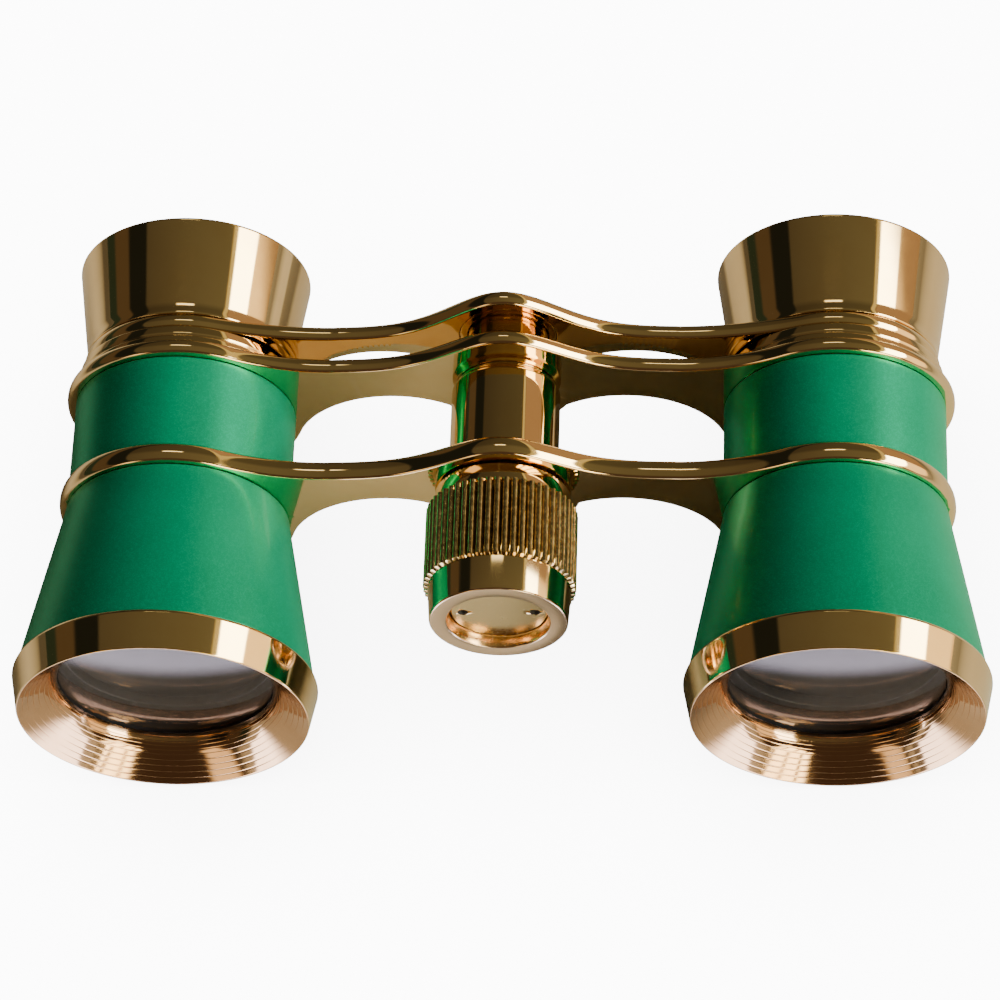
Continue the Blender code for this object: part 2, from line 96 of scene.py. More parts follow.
# ---------------------------------------------------------------- shader helpers
class Graph:
    """A node tree, with a call for each kind of node that the finishes and the room use."""

    def __init__(self, owner):
        owner.use_nodes = True
        self.tree = owner.node_tree
        coordinates = self.add("ShaderNodeTexCoord")
        self.place = coordinates.outputs["Object"]
        self.direction = coordinates.outputs["Generated"]

    def add(self, kind, **settings):
        node = self.tree.nodes.new(kind)
        for key, value in settings.items():
            setattr(node, key, value)
        return node

    def feed(self, socket, value):
        if isinstance(value, bpy.types.NodeSocket):
            self.tree.links.new(value, socket)
        else:
            socket.default_value = value

    def set(self, **inputs):
        for key, value in inputs.items():
            self.feed(self.shader.inputs[key.replace("_", " ")], value)

    def noise(self, scale, detail=2.0, roughness=0.5, vector=None):
        node = self.add("ShaderNodeTexNoise")
        self.feed(node.inputs["Vector"], vector or self.place)
        node.inputs["Scale"].default_value = scale
        node.inputs["Detail"].default_value = detail
        node.inputs["Roughness"].default_value = roughness
        return node.outputs["Fac"]

    def stretched(self, x, y, z):
        node = self.add("ShaderNodeMapping")
        self.feed(node.inputs["Vector"], self.place)
        node.inputs["Scale"].default_value = (x, y, z)
        return node.outputs["Vector"]

    def cells(self, scale):
        node = self.add("ShaderNodeTexVoronoi")
        self.feed(node.inputs["Vector"], self.place)
        node.inputs["Scale"].default_value = scale
        return node.outputs["Color"]

    def between(self, value, low, high, start=0.0, end=1.0):
        node = self.add("ShaderNodeMapRange")
        self.feed(node.inputs["Value"], value)
        node.inputs["From Min"].default_value = start
        node.inputs["From Max"].default_value = end
        node.inputs["To Min"].default_value = low
        node.inputs["To Max"].default_value = high
        return node.outputs["Result"]

    def blend(self, factor, first, second):
        node = self.add("ShaderNodeMix", data_type="RGBA")
        self.feed(node.inputs["Factor"], factor)
        self.feed(node.inputs["A"], (*first, 1.0) if isinstance(first, tuple) else first)
        self.feed(node.inputs["B"], (*second, 1.0) if isinstance(second, tuple) else second)
        return node.outputs["Result"]

    def maths(self, operation, first, second=0.0):
        node = self.add("ShaderNodeMath", operation=operation)
        self.feed(node.inputs[0], first)
        self.feed(node.inputs[1], second)
        return node.outputs[0]

    def bump(self, height, strength, distance):
        node = self.add("ShaderNodeBump")
        self.feed(node.inputs["Height"], height)
        node.inputs["Strength"].default_value = strength
        node.inputs["Distance"].default_value = distance
        return node.outputs["Normal"]

    def turned_tangent(self):
        """The direction of lathe marks round the Y axis."""
        return self.add("ShaderNodeTangent", direction_type="RADIAL", axis="Y").outputs["Tangent"]

    def band(self, value, low, high, soft):
        """1 between low and high, with soft edges."""
        rise = self.add("ShaderNodeMapRange", interpolation_type="SMOOTHSTEP")
        fall = self.add("ShaderNodeMapRange", interpolation_type="SMOOTHSTEP")
        for node, edge in ((rise, low), (fall, high)):
            self.feed(node.inputs["Value"], value)
            node.inputs["From Min"].default_value = edge - soft
            node.inputs["From Max"].default_value = edge + soft
        fall.inputs["To Min"].default_value = 1.0
        fall.inputs["To Max"].default_value = 0.0
        return self.maths("MULTIPLY", rise.outputs["Result"], fall.outputs["Result"])


class Finish(Graph):
    """A new material on the standard shader."""

    def __init__(self, name):
        self.material = bpy.data.materials.new(name)
        super().__init__(self.material)
        self.shader = self.tree.nodes["Principled BSDF"]


# ---------------------------------------------------------------- finishes
def polished_gold():
    """Buffed plating: nearly a mirror, with faint smears, buffing hairlines and duller rubbed edges."""
    look = Finish("polished_gold")
    smears = look.noise(160, 4, 0.6)
    hairlines = look.noise(1, 2, 0.5, look.stretched(9000, 700, 9000))
    edge = look.between(look.add("ShaderNodeNewGeometry").outputs["Pointiness"], 0.0, 1.0, 0.52, 0.60)
    tint = look.blend(look.between(smears, 0.0, 1.0, 0.35, 0.7), (0.90, 0.67, 0.36), (0.86, 0.62, 0.32))
    rubbed = look.blend(look.maths("MULTIPLY", edge, 0.35), tint, (0.97, 0.78, 0.50))
    buffed = look.between(smears, 0.035, 0.085, 0.35, 0.75)
    rough = look.maths("ADD", buffed, look.maths("MULTIPLY", edge, 0.06))
    look.set(Base_Color=rubbed, Metallic=1.0, Roughness=rough, Normal=look.bump(hairlines, 0.04, 0.00001))
    return look.material


def satin_gold():
    """Rosier plating over fine lathe marks, nearly as sharp as the polish but with stretched highlights."""
    look = Finish("satin_gold")
    smears = look.noise(240, 4, 0.6)
    tint = look.blend(look.between(smears, 0.0, 1.0, 0.3, 0.7), (0.66, 0.43, 0.25), (0.58, 0.36, 0.20))
    look.set(Base_Color=tint, Metallic=1.0, Roughness=look.between(smears, 0.05, 0.09, 0.3, 0.7),
             Anisotropic=0.4, Tangent=look.turned_tangent(),
             Normal=look.bump(look.noise(5200, 2), 0.04, 0.00001))
    return look.material


def knurl_gold():
    """Plating over cut flutes, with a grain that sparkles and painted shade down in the grooves."""
    look = Finish("knurl_gold")
    grain = look.noise(3600, 3, 0.7)
    pits = look.noise(1500, 2, 0.6)
    tint = look.blend(look.between(pits, 0.0, 1.0, 0.4, 0.65), (0.62, 0.47, 0.24), (0.95, 0.78, 0.46))
    # Painted shade: the grooves between the flutes are darkened almost to black, while the crests keep the
    # plating's colour.
    crest = look.between(look.add("ShaderNodeNewGeometry").outputs["Pointiness"], 0.0, 1.0, 0.40, 0.52)
    tint = look.blend(crest, (0.16, 0.11, 0.05), tint)
    look.set(Base_Color=tint, Metallic=1.0, Roughness=look.between(grain, 0.06, 0.16, 0.35, 0.65),
             Normal=look.bump(grain, 0.12, 0.00004))
    return look.material


def faced_gold(name, dark, light):
    """Faced-off brass with a faint grain, duller than the polished sides."""
    look = Finish(name)
    grain = look.noise(2600, 3, 0.6)
    look.set(Base_Color=look.blend(grain, dark, light), Metallic=1.0,
             Roughness=look.between(grain, 0.16, 0.28, 0.3, 0.7), Normal=look.bump(grain, 0.10, 0.00002))
    return look.material


def green_enamel():
    """Pearl enamel: fine flakes and slow colour drift under a thin clear coat with a soft orange peel."""
    look = Finish("green_enamel")
    flakes = look.add("ShaderNodeSeparateColor")
    look.feed(flakes.inputs["Color"], look.cells(11000))
    flake = flakes.outputs["Red"]
    drift = look.noise(90, 3, 0.5)
    body = look.blend(look.between(drift, 0.0, 1.0, 0.3, 0.7), (0.0, 0.315, 0.178), (0.0, 0.365, 0.212))
    tint = look.blend(look.between(flake, 0.0, 0.4, 0.5, 1.0), body, (0.0, 0.55, 0.36))
    orange_peel = look.bump(look.noise(420, 2), 0.05, 0.00002)
    look.set(Base_Color=tint, Metallic=0.5, Roughness=look.between(flake, 0.32, 0.42),
             Specular_IOR_Level=0.3, Specular_Tint=(0.05, 0.9, 0.6, 1.0),
             Coat_Weight=0.06, Coat_Roughness=0.05, Coat_IOR=1.5,
             Coat_Normal=orange_peel, Normal=look.bump(flake, 0.05, 0.00001))
    return look.material


def coated_glass():
    """Thin coated glass: it lets light straight in, and reflects more, in lilac, at a glancing angle."""
    look = Finish("lens_glass")
    glancing = look.add("ShaderNodeFresnel")
    glancing.inputs["IOR"].default_value = 1.62
    dust = look.between(look.noise(900, 5, 0.7), 0.0, 0.008, 0.45, 0.75)
    front = look.maths("ADD", look.between(glancing.outputs["Fac"], 0.04, 0.45, 0.06, 0.62), dust)
    behind = look.add("ShaderNodeNewGeometry").outputs["Backfacing"]
    alpha = look.maths("MULTIPLY", front, look.between(behind, 1.0, 0.05))
    look.set(Base_Color=(0.90, 0.86, 0.95, 1.0), Metallic=1.0, Roughness=0.03, Alpha=alpha)
    return look.material


def black_anodised():
    # Black anodising for the retainers and lens rims, also used as painted shade inside the knob screw's pin
    # holes.
    look = Finish("black_anodised")
    grain = look.noise(3000, 3, 0.6)
    look.set(Base_Color=look.blend(grain, (0.012, 0.012, 0.014), (0.030, 0.030, 0.034)), Metallic=0.2,
             Roughness=look.between(grain, 0.45, 0.65), Normal=look.bump(grain, 0.15, 0.00002))
    return look.material


def blackened_bore():
    """The blackened inside of a barrel, matt over its turning marks."""
    look = Finish("blackened_bore")
    marks = look.noise(1, 2, 0.5, look.stretched(60, 5200, 60))
    look.set(Base_Color=look.blend(marks, (0.030, 0.029, 0.033), (0.055, 0.053, 0.058)), Metallic=0.0,
             Roughness=look.between(marks, 0.6, 0.8), Normal=look.bump(marks, 0.2, 0.00002))
    return look.material


def screw_steel():
    look = Finish("screw_steel")
    marks = look.noise(1, 2, 0.5, look.stretched(80, 6000, 80))
    look.set(Base_Color=look.blend(marks, (0.50, 0.50, 0.52), (0.64, 0.64, 0.66)), Metallic=1.0,
             Roughness=look.between(marks, 0.22, 0.36), Normal=look.bump(marks, 0.2, 0.00002))
    return look.material


GOLD = polished_gold()
SATIN = satin_gold()
KNURLED = knurl_gold()
FACED = faced_gold("faced_gold", (0.90, 0.68, 0.51), (0.96, 0.76, 0.60))
DISC = faced_gold("disc_gold", (0.80, 0.65, 0.38), (0.87, 0.72, 0.45))
# The recess gold is darker and more orange than the faced gold: painted shade in the knob's cove.
SHADED_RECESS = faced_gold("shaded_recess_gold", (0.78, 0.47, 0.20), (0.84, 0.53, 0.25))
ENAMEL = green_enamel()
GLASS = coated_glass()
BLACK = black_anodised()
BORE = blackened_bore()
STEEL = screw_steel()


# ---------------------------------------------------------------- mesh helpers
def finish_mesh(name, work, finishes, origin):
    """Turn a bmesh in millimetres about a point into a smooth, weighted object."""
    bmesh.ops.recalc_face_normals(work, faces=work.faces)
    mesh = bpy.data.meshes.new(name)
    work.to_mesh(mesh)
    work.free()
    mesh.transform(Matrix.Scale(MM, 4))
    mesh.shade_smooth()
    mesh.set_sharp_from_angle(angle=math.radians(SHARP_DEGREES))
    for finish in finishes:
        mesh.materials.append(finish)
    obj = bpy.data.objects.new(name, mesh)
    bpy.context.scene.collection.objects.link(obj)
    obj.location = origin
    weighted = obj.modifiers.new("weighted_normals", "WEIGHTED_NORMAL")
    weighted.keep_sharp = True
    return obj


def soften(profile, reach, closed=True, steps=4):
    """Round every corner of a profile, starting at most reach before it."""
    count = len(profile)
    out = []
    for i, (r, s, finish) in enumerate(profile):
        if not closed and i in (0, count - 1):
            out.append((r, s, finish))
            continue
        before, after = profile[i - 1], profile[(i + 1) % count]
        here = Vector((r, s))
        back = Vector(before[:2]) - here
        ahead = Vector(after[:2]) - here
        start = here + back.normalized() * min(reach, back.length * 0.45)
        end = here + ahead.normalized() * min(reach, ahead.length * 0.45)
        for k in range(steps + 1):
            t = k / steps
            point = start * (1 - t) ** 2 + here * 2 * t * (1 - t) + end * t ** 2
            out.append((point.x, point.y, finish))
    return out


def lathe(name, profile, origin, segments=SEGMENTS, closed=True, shape=None):
    """Spin a profile round Y.  shape(radius, station, angle) may move a point's radius."""
    finishes = list(dict.fromkeys(point[2] for point in profile))
    work = bmesh.new()
    rings = []
    for r, s, _ in profile:
        if r < 1e-6:
            rings.append([work.verts.new((0.0, s, 0.0))] * segments)
            continue
        ring = []
        for i in range(segments):
            angle = math.tau * i / segments
            reach = shape(r, s, angle) if shape else r
            ring.append(work.verts.new((reach * math.cos(angle), s, reach * math.sin(angle))))
        rings.append(ring)
    pairs = list(zip(range(len(rings)), range(1, len(rings))))
    if closed:
        pairs.append((len(rings) - 1, 0))
    for a, b in pairs:
        for i in range(segments):
            j = (i + 1) % segments
            corners = list(dict.fromkeys((rings[a][i], rings[a][j], rings[b][j], rings[b][i])))
            if len(corners) > 2:
                work.faces.new(corners).material_index = finishes.index(profile[a][2])
    return finish_mesh(name, work, finishes, origin)


def carve(obj, cutter):
    """Cut one object out of another for good."""
    cut = obj.modifiers.new("carve", "BOOLEAN")
    cut.object = cutter
    cut.solver = "EXACT"
    cut.operation = "DIFFERENCE"
    bpy.context.view_layer.update()
    mesh = bpy.data.meshes.new_from_object(obj.evaluated_get(bpy.context.evaluated_depsgraph_get()))
    obj.modifiers.remove(cut)
    obj.data = mesh
    mesh.set_sharp_from_angle(angle=math.radians(CUT_SHARP_DEGREES))
    bpy.data.objects.remove(cutter, do_unlink=True)


def install(obj, node, body):
    """Put a visual piece on its body in place of its CAD node."""
    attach(obj, body)
    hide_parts(node)
    return obj


def plain(points, finish):
    return [(r, s, finish) for r, s in points]


# ---------------------------------------------------------------- bridge plates
def arc(centre, reach, start, end, steps):
    angles = [start + (end - start) * i / steps for i in range(steps)]
    return [Vector((centre[0] + reach * math.cos(a), centre[1] + reach * math.sin(a))) for a in angles]


def heading(origin, target):
    return math.atan2(target[1] - origin[1], target[0] - origin[0])


def circles_meet(first, first_radius, second, second_radius):
    """The right-hand one of the two points that two circles share."""
    reach = math.dist(first, second)
    along = (first_radius ** 2 - second_radius ** 2 + reach ** 2) / (2 * reach)
    across = math.sqrt(first_radius ** 2 - along ** 2)
    angle = heading(first, second)
    return max((first[0] + along * math.cos(angle) - side * across * math.sin(angle),
                first[1] + along * math.sin(angle) + side * across * math.cos(angle)) for side in (-1, 1))


STRAP_X = 18.5                # where a plate's top edge starts to rise into its ring
HUMP_SPREAD = 8.1


def plate_outline(ring, waist, hump, arch_x, arch_top, boss):
    """A bridge plate's outline about the barrel axes' mid point, smooth enough to shade as a curve."""
    centre = (BARREL_X, 0.0)
    boss_centre = (0.0, KNOB_RISE)
    crest_steps = 60
    crest = [Vector((x, waist + hump * math.exp(-(x / HUMP_SPREAD) ** 2)))
             for x in (STRAP_X * i / crest_steps for i in range(crest_steps))]
    rise = BARREL_X - STRAP_X
    sweep = (rise ** 2 + waist ** 2 - ring ** 2) / (2 * (ring - waist))
    sweep_centre = (STRAP_X, waist + sweep)
    rise = BARREL_X - arch_x
    arch = (rise ** 2 + arch_top ** 2 - ring ** 2) / (2 * (ring + arch_top))
    arch_centre = (arch_x, arch_top - arch)
    join = circles_meet(boss_centre, boss, arch_centre, arch)
    ring_foot = heading(centre, arch_centre)
    if ring_foot > 0:
        ring_foot -= math.tau
    half = crest
    half += arc(sweep_centre, sweep, -math.pi / 2, heading(sweep_centre, centre), 16)
    half += arc(centre, ring, heading(centre, sweep_centre), ring_foot, 120)
    half += arc(arch_centre, arch, heading(arch_centre, centre), heading(arch_centre, join), 40)
    half += arc(boss_centre, boss, heading(boss_centre, join), -math.pi / 2, 20)
    half.append(Vector((0.0, KNOB_RISE - boss)))
    return half + [Vector((-p.x, p.y)) for p in reversed(half[1:-1])]


def inward(loop, distance):
    """A loop moved to its right-hand side, which is into the plate for a clockwise outline."""
    out = []
    for i, point in enumerate(loop):
        along = (loop[(i + 1) % len(loop)] - loop[i - 1]).normalized()
        out.append(point + Vector((along.y, -along.x)) * distance)
    return out


def crown(front, back, rise):
    """Insets and stations across an edge that swells evenly by rise from both faces."""
    half = (back - front) / 2
    steps = 12
    turns = [math.pi * k / steps for k in range(steps + 1)]
    return [(rise * (1 - math.sin(t)), front + half * (1 - math.cos(t))) for t in turns]


def eased(front, back, reach):
    """Insets and stations across an edge with a small round at each face."""
    steps = 3
    quarter = [math.pi / 2 * k / steps for k in range(steps + 1)]
    first = [(reach * (1 - math.sin(t)), front + reach * (1 - math.cos(t))) for t in quarter]
    return first + [(inset, front + back - s) for inset, s in reversed(first)]


def shaped_plate(name, edges, finish, origin):
    """A flat piece from its edges, clockwise outlines or counter-clockwise holes, each with its section."""
    work = bmesh.new()
    caps = ([], [])
    for loop, section in edges:
        rings = [[work.verts.new((p.x, s, p.y)) for p in inward(loop, inset)] for inset, s in section]
        for a, b in zip(rings, rings[1:]):
            for i in range(len(loop)):
                j = (i + 1) % len(loop)
                work.faces.new((a[i], a[j], b[j], b[i]))
        for cap, ring in zip(caps, (rings[0], rings[-1])):
            cap += [work.edges.get((ring[i], ring[(i + 1) % len(ring)])) for i in range(len(ring))]
    for cap in caps:
        bmesh.ops.triangle_fill(work, use_beauty=True, edges=cap)
    return finish_mesh(name, work, [finish], origin)


def ring_loop(centre, reach, steps=FINE_SEGMENTS):
    return arc(centre, reach, 0.0, math.tau, steps)


CROWN_RISE = 0.5
BORE_EDGE = 0.1


def bridge(node, body, barrel_bore, centre_bore, **shape):
    """One plate.  Its rings reach to the CAD plate's sides; shape has plate_outline's other sizes."""
    front, back = span(node)
    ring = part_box(node)[1].x / MM - BARREL_X
    bores = [ring_loop((side * BARREL_X, 0.0), barrel_bore, SEGMENTS) for side in (-1, 1)]
    bores.append(ring_loop((0.0, KNOB_RISE), centre_bore))
    edges = [(plate_outline(ring, **shape), crown(front, back, CROWN_RISE))]
    edges += [(bore, eased(front, back, BORE_EDGE)) for bore in bores]
    plate = shaped_plate("shown_" + node, edges, GOLD, Vector((0.0, CAD_LOW.y, BARREL_Z)))
    install(plate, node, body)


def bridges():
    bridge("front_bridge", "body", barrel_bore=11.05, centre_bore=4.05,
           waist=8.75, hump=5.1, arch_x=12.5, arch_top=4.05, boss=8.4)
    bridge("rear_bridge", "body", barrel_bore=10.35, centre_bore=5.25,
           waist=8.75, hump=5.7, arch_x=12.5, arch_top=3.2, boss=7.5)
    bridge("eyepiece_bridge", "eyepieces", barrel_bore=9.65, centre_bore=1.65,
           waist=8.65, hump=6.9, arch_x=13.5, arch_top=5.6, boss=6.9)


# ---------------------------------------------------------------- one barrel
def objective_ring(side):
    """A bright outer band, a stepped satin bevel and a curved throat down to the lens."""
    node = f"{side}_objective_ring"
    wide = radius(node)
    spigot_back = span(node)[1]
    band_back = span(f"{side}_barrel_cone")[0] - SEAM
    rim, spigot, aperture, seat, seat_front = wide - 0.7, 13.85, 11.3, 12.55, 4.2
    profile = plain([(spigot, spigot_back), (spigot, band_back), (wide - 0.12, band_back),
                     (wide, band_back - 0.3), (rim, 0.16), (rim - 0.07, 0.02)], GOLD)
    top, foot, lip = (rim - 0.16, 0.0), (12.5, 2.15), band_back - 0.2

    def flank(t):
        """The bevel for t up to 1, then the cove that rounds into the aperture."""
        if t <= 1:
            return top[0] + (foot[0] - top[0]) * t, foot[1] * t
        return aperture + (foot[0] - aperture) * (2 - t) ** 1.7, foot[1] + (lip - foot[1]) * (t - 1)

    grooves, groove_reach, groove_depth = 10, 0.016, 0.02
    for i in range(grooves):
        t = 2 * i / grooves
        r, s = flank(t + groove_reach)
        profile += plain([flank(t), (r + groove_depth, s), flank(t + 2 * groove_reach)], SATIN)
        profile += plain([flank(t + (2 / grooves) * part) for part in (0.4, 0.6, 0.8)], SATIN)
    profile += plain([flank(2)], SATIN)
    profile += plain([(aperture, seat_front), (seat, seat_front), (seat, spigot_back)], BLACK)
    ring = lathe("shown_" + node, soften(profile, 0.05, steps=2), axis(node))
    install(ring, node, "body")


def lens(side, node, body, back_bulge, front_bulge, edge=None):
    """A lens between its CAD stations, with a blackened rim.

    A bulge is positive towards the back.  edge is the rim's thickness, for a lens with a hollow back.
    """
    name = f"{side}_{node}"
    reach = radius(name)
    front, back = span(name)
    rings = 16
    back_edge, front_edge = back - max(back_bulge, 0.0), front - min(front_bulge, 0.0)
    if edge:
        back_edge = front_edge + edge

    def face(rim_station, bulge):
        return [(reach * i / rings, rim_station + bulge * (1 - (i / rings) ** 2)) for i in range(rings + 1)]

    behind = face(back_edge, back_bulge)
    shape = plain(behind[:-1], GLASS) + plain(behind[-1:], BLACK)
    shape += plain(face(front_edge, front_bulge)[::-1], GLASS)
    glass = lathe("shown_" + name, shape, axis(name), FINE_SEGMENTS, closed=False)
    install(glass, name, body)


def tube_piece(node, body, inner, finish, ends=None, edge=0.12, segments=SEGMENTS):
    """A plain turned tube with softened edges; ends replace the CAD stations."""
    front, back = ends or span(node)
    outer = radius(node)
    profile = plain([(outer, back), (outer, front), (inner, front), (inner, back)], finish)
    piece = lathe("shown_" + node, soften(profile, edge), axis(node), segments)
    install(piece, node, body)


def barrel_cone(side):
    """The flared front of a barrel; the enamel rolls over its front edge and the bore is bare."""
    node = f"{side}_barrel_cone"
    front, back = span(node)
    wide = radius(node)
    shoulder = span("front_bridge")[0] - SEAM
    tube_radius, neck, bore = radius(f"{side}_barrel_tube"), 11.0, 10.1
    socket, socket_back, throat, throat_front = 14.15, 8.5, 13.55, 8.8
    outside = plain([(tube_radius, shoulder), (wide, front)], ENAMEL)
    inside = plain([(socket, front), (socket, socket_back), (throat, throat_front), (bore, shoulder),
                    (bore, back), (neck, back), (neck, shoulder)], BORE)
    piece = lathe("shown_" + node, soften(outside + inside, 0.16), axis(node))
    install(piece, node, "body")


def barrel_tube(side):
    node = f"{side}_barrel_tube"
    front, back = span("front_bridge")[1] + SEAM, span("rear_bridge")[0] - SEAM
    outer, seat, bore, counterbore = radius(node), 11.3, 10.9, 29.3
    profile = plain([(outer, back), (outer, front)], ENAMEL)
    profile += plain([(seat, front), (seat, counterbore), (bore, counterbore), (bore, back)], BORE)
    piece = lathe("shown_" + node, soften(profile, 0.12), axis(node))
    install(piece, node, "body")


def rear_collar(side):
    """A flanged sleeve with a shallow groove round its flange."""
    node = f"{side}_rear_collar"
    front, back = span(node)
    flange = span("rear_bridge")[1] + SEAM
    outer, sleeve, bore = radius(node), 10.3, 9.7
    groove, groove_depth, half_width = (flange + back) / 2, 0.14, 0.14
    profile = plain([(outer, back), (outer, groove + half_width), (outer - groove_depth, groove),
                     (outer, groove - half_width), (outer, flange), (sleeve, flange)], GOLD)
    profile += plain([(sleeve, front), (bore, front)], BORE) + plain([(bore, back)], GOLD)
    piece = lathe("shown_" + node, soften(profile, 0.14, steps=3), axis(node))
    install(piece, node, "body")


def draw_tube(side):
    """The sliding tube, gold outside and black inside."""
    node = f"{side}_draw_tube"
    front, back = span(node)
    outer, bore, dark_lip = radius(node), 8.9, 0.3
    profile = plain([(outer, back), (outer, front + dark_lip)], GOLD)
    profile += plain([(outer, front), (bore, front), (bore, back)], BORE)
    tube = lathe("shown_" + node, soften(profile, 0.1, steps=2), axis(node))
    install(tube, node, "eyepieces")


def eyecup(side):
    """A flared cup with a rolled rim, a dished satin bowl and a spigot in the draw tube."""
    node = f"{side}_eyecup"
    front, back = span(node)
    rim, waist, spigot, bore, stop, stop_front = radius(node), 11.2, 8.6, 7.9, 6.6, 46.5
    shoulder = span("eyepiece_bridge")[1] + SEAM
    cone_foot, fillet_length, fillet_steps, floor = 43.6, 0.8, 6, 47.4
    slope = (rim - waist) / (back - cone_foot - fillet_length / 2)
    fillet = [(waist + slope * fillet_length / 2 * (i / fillet_steps) ** 2,
               cone_foot + fillet_length * i / fillet_steps) for i in range(fillet_steps + 1)]
    rolled_rim = [(rim - 0.32, back), (rim - 0.05, back - 0.2)]
    foot = [(waist, shoulder), (spigot, shoulder), (spigot, front)]
    inside = [(bore, front), (bore, stop_front), (stop, stop_front)]
    outside = plain(rolled_rim + fillet[::-1] + foot + inside, GOLD)
    steps, opening = 14, rim - 1.1
    bowl = plain([(stop + (opening - stop) * (i / steps) ** 0.6, floor + (back - 0.4 - floor) * i / steps)
                  for i in range(steps + 1)], SATIN)
    piece = lathe("shown_" + node, soften(outside + bowl, 0.2), axis(node))
    install(piece, node, "eyepieces")


def barrels():
    for side in SIDES:
        objective_ring(side)
        lens(side, "objective_lens", "body", back_bulge=0.4, front_bulge=-1.0)
        tube_piece(f"{side}_objective_retainer", "body", 10.9, BLACK)
        barrel_cone(side)
        barrel_tube(side)
        rear_collar(side)
        draw_tube(side)
        eyecup(side)
        lens(side, "eye_lens", "eyepieces", back_bulge=-0.9, front_bulge=0.7, edge=2.2)
        tube_piece(f"{side}_eye_lens_retainer", "eyepieces", 6.3, BLACK)


# ---------------------------------------------------------------- focusing drive
FLUTES = 54
FLUTE_DEPTH = 0.5
POINTS_PER_FLUTE = 10


def focus_knob():
    """A tapered front band with a coved recess, a grip of convex ribs with cut ends, and a plain collar."""
    node = "focus_knob"
    front = span(node)[0]
    back = span("front_bridge")[0] - 0.28
    crest = radius(node)
    band, face_radius, collar, recess, bore = 7.5, 7.2, 7.15, 5.4, 2.5
    grip_front, grip_back, chamfer = 12.3, 21.5, 0.14
    disc_seat, cove_depth = 11.6, 1.25
    root = crest - FLUTE_DEPTH - 0.05
    collar_part = plain([(collar - 0.12, back), (collar, back - 0.12), (collar, grip_back + 0.12)], GOLD)
    rows = 8
    length = grip_back - grip_front - 2 * chamfer
    ribs = [(root, grip_back, KNURLED)]
    ribs += [(crest, grip_back - chamfer - length * i / rows, KNURLED) for i in range(rows + 1)]
    ribs += [(root, grip_front, GOLD)]
    face = soften([(band, grip_front - 0.02, GOLD), (face_radius + 0.05, front + 0.2, GOLD),
                   (face_radius - 0.12, front, FACED), (recess + 0.12, front, FACED)], 0.08, False, 3)
    cove_steps, foot, lip = 8, recess - 0.28, front + 0.1
    # The cove takes the darker recess gold as painted shade.
    cove = plain([(foot + (recess - foot) * (1 - i / cove_steps) ** 1.8, lip + cove_depth * i / cove_steps)
                  for i in range(cove_steps + 1)], SHADED_RECESS)
    inside = plain([(foot, disc_seat), (bore, disc_seat), (bore, back)], GOLD)

    def fluted(r, s, angle):
        if not grip_front <= s <= grip_back or r < root:
            return r
        across = abs((angle * FLUTES / math.tau) % 1.0 - 0.5) * 2
        return min(r, crest - FLUTE_DEPTH * across ** 2.4)

    knob = lathe("shown_" + node, collar_part + ribs + face + cove + inside,
                 axis(node), FLUTES * POINTS_PER_FLUTE, shape=fluted)
    install(knob, node, "knob")


def knob_screw():
    """The disc in the knob's face, with its two pin holes."""
    node = "knob_screw"
    front, back = span(node)
    disc, shank, disc_back, edge = radius(node), 1.2, 11.3, 0.12
    rings = [(disc * i / 6, front, DISC) for i in range(6, -1, -1)]
    profile = plain([(0.0, back), (shank, back), (shank, disc_back)], SATIN)
    profile += plain([(disc, disc_back), (disc, front + edge), (disc - edge, front)], DISC) + rings[1:]
    screw = lathe("shown_" + node, profile, axis(node), FINE_SEGMENTS, closed=False)
    # The pin holes are lined with the black finish: painted shade down in the holes.
    screw.data.materials.append(BLACK)
    hole, offset, bottom, clear = 0.55, 3.75, front + 0.9, front - 0.3
    for sign in (-1, 1):
        drill = plain([(0.0, bottom), (hole, bottom), (hole, clear), (0.0, clear)], BLACK)
        place = axis(node) + Vector((sign * offset * MM, 0.0, 0.0))
        carve(screw, lathe("drill", drill, place, 32, closed=False))
    install(screw, node, "knob")


def rod_end_screw():
    """A domed cheese-head screw with a driver slot."""
    node = "rod_end_screw"
    shank_front, crown = span(node)
    head, shank, seat = radius(node), 1.6, span("eyepiece_bridge")[1] + SEAM
    dome_steps, dome_foot = 12, seat + 0.25
    slot_width, slot_depth, slot_middle = 0.7, 1.2, crown + 0.05
    turns = [math.pi / 2 * i / dome_steps for i in range(dome_steps + 1)]
    dome = plain([(head * math.sin(t), dome_foot + (crown - dome_foot) * math.cos(t)) for t in turns], SATIN)
    rest = plain([(head, seat), (shank, seat), (shank, shank_front), (0.0, shank_front)], SATIN)
    screw = lathe("shown_" + node, dome + rest, axis(node), FINE_SEGMENTS, closed=False)
    work = bmesh.new()
    bmesh.ops.create_cube(work, size=1.0)
    bmesh.ops.scale(work, vec=(2 * head + 1, slot_depth, slot_width), verts=work.verts)
    bmesh.ops.translate(work, vec=(0, slot_middle, 0), verts=work.verts)
    carve(screw, finish_mesh("slot", work, [SATIN], axis(node)))
    install(screw, node, "eyepieces")


def centre_tube():
    """The polished column between the front and rear bridges, with a rounded neck at its back end."""
    node = "centre_tube"
    front, back = span("front_bridge")[1] + SEAM, span("rear_bridge")[0] - SEAM
    outer, bore, neck = radius(node), 4.9, 5.4
    profile = plain([(neck, back), (neck, back - 0.3), (neck + 0.12, back - 0.45), (outer, back - 0.8),
                     (outer, front), (bore, front), (bore, back)], GOLD)
    column = lathe("shown_" + node, soften(profile, 0.25, steps=4), axis(node))
    install(column, node, "body")


